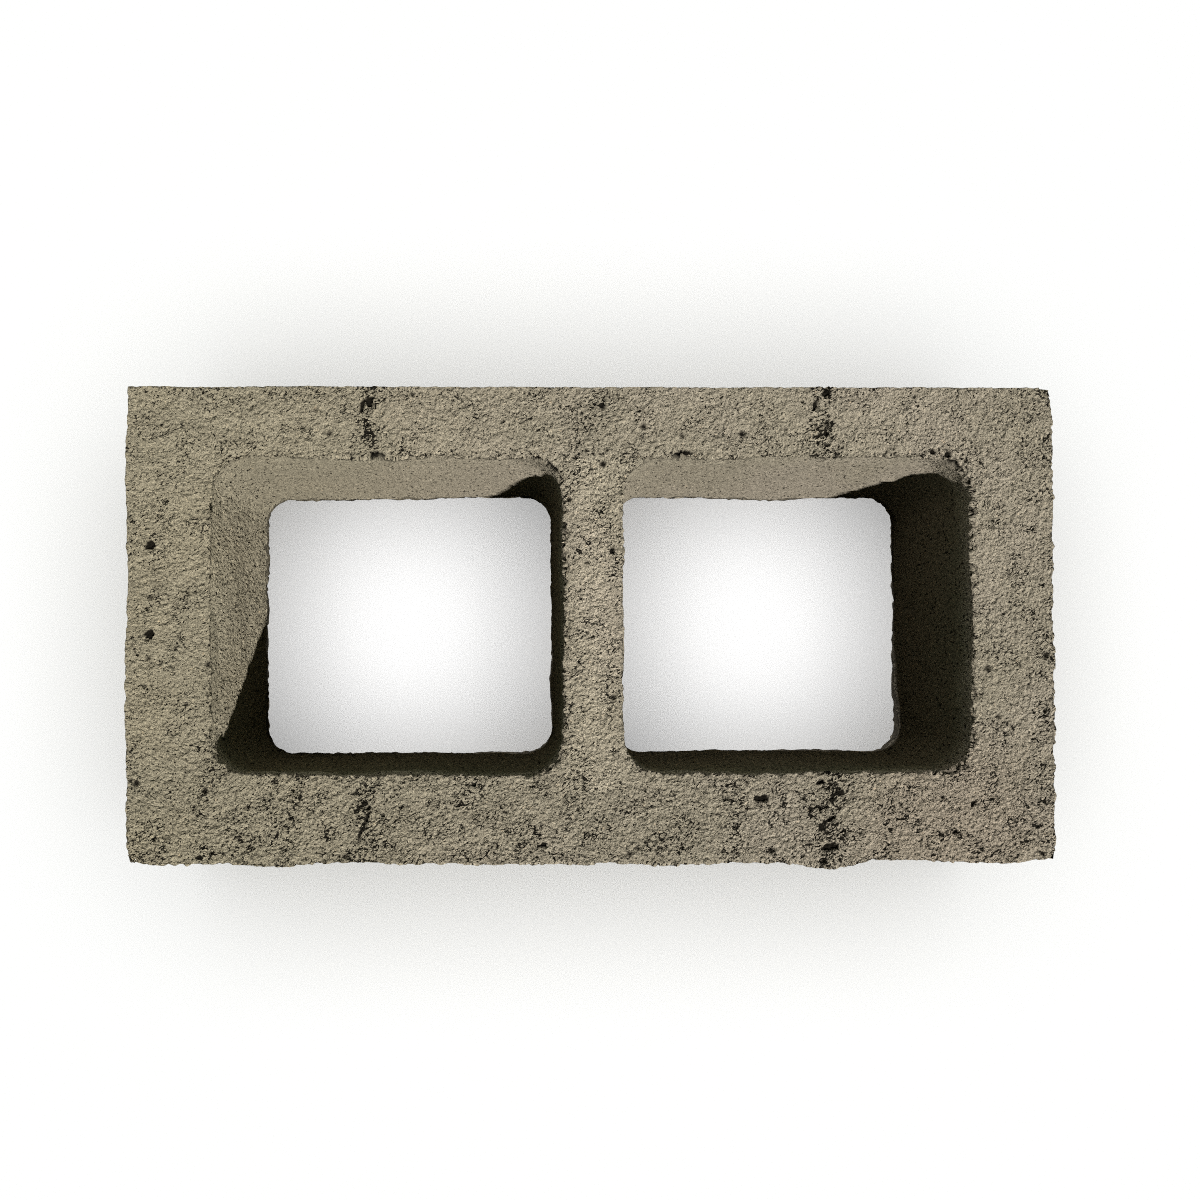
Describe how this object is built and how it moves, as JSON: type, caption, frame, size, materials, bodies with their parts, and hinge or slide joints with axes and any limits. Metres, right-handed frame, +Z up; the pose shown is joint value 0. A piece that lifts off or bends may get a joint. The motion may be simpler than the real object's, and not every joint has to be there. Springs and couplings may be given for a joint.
{
  "type": "concrete block",
  "caption": "Hollow concrete masonry block with tapered rectangular cores open at both bed faces, laid in mortar to build walls.",
  "frame": {"origin": "centre of the lower bed face, on the floor that the block lies on", "axes": "+X along the length, +Y towards the back face shell (the thinner one), +Z up along the cores, from the lower bed face to the upper one, where the cores are widest"},
  "size_m": [0.39, 0.2, 0.19],
  "materials": {
    "concrete": "matte"
  },
  "bodies": {
    "root": {"block": "concrete"}
  },
  "joints": []
}
